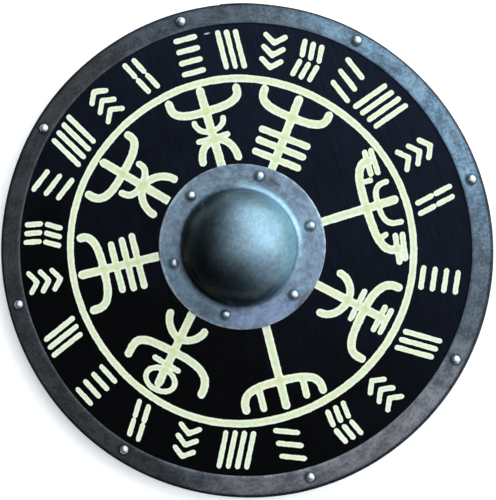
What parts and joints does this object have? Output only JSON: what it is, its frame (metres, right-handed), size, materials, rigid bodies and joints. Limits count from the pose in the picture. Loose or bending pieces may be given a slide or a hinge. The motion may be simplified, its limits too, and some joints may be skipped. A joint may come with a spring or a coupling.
{
  "type": "round shield",
  "caption": "Round wooden shield with a folded steel rim, a domed steel boss over its hand hole and a wooden grip behind, painted with a ring of strokes and a radiating stave.",
  "frame": {"origin": "below the middle of the rim, on the surface that the grip's flat back lies on", "axes": "+Z out of the shield's painted front, +X along the grip"},
  "size_m": [0.61, 0.61, 0.096],
  "materials": {
    "painted_board": "black paint with faint brush marks and grain, cream painted figures",
    "rim_steel": "darkened, with scuffs and a soft sheen",
    "boss_steel": "satin, faint mill streaks and patina",
    "rivet_steel": "bright and rounded by use",
    "grip_wood": "oiled, darker where held"
  },
  "bodies": {
    "root": {"board": "painted_board", "rim": "rim_steel", "boss": "boss_steel", "grip": "grip_wood", "rim_rivet_1": "rivet_steel", "rim_rivet_2": "rivet_steel", "rim_rivet_3": "rivet_steel", "rim_rivet_4": "rivet_steel", "rim_rivet_5": "rivet_steel", "rim_rivet_6": "rivet_steel", "rim_rivet_7": "rivet_steel", "rim_rivet_8": "rivet_steel", "boss_rivet_1": "rivet_steel", "boss_rivet_2": "rivet_steel", "boss_rivet_3": "rivet_steel", "boss_rivet_4": "rivet_steel", "boss_rivet_5": "rivet_steel", "boss_rivet_6": "rivet_steel"}
  },
  "joints": []
}
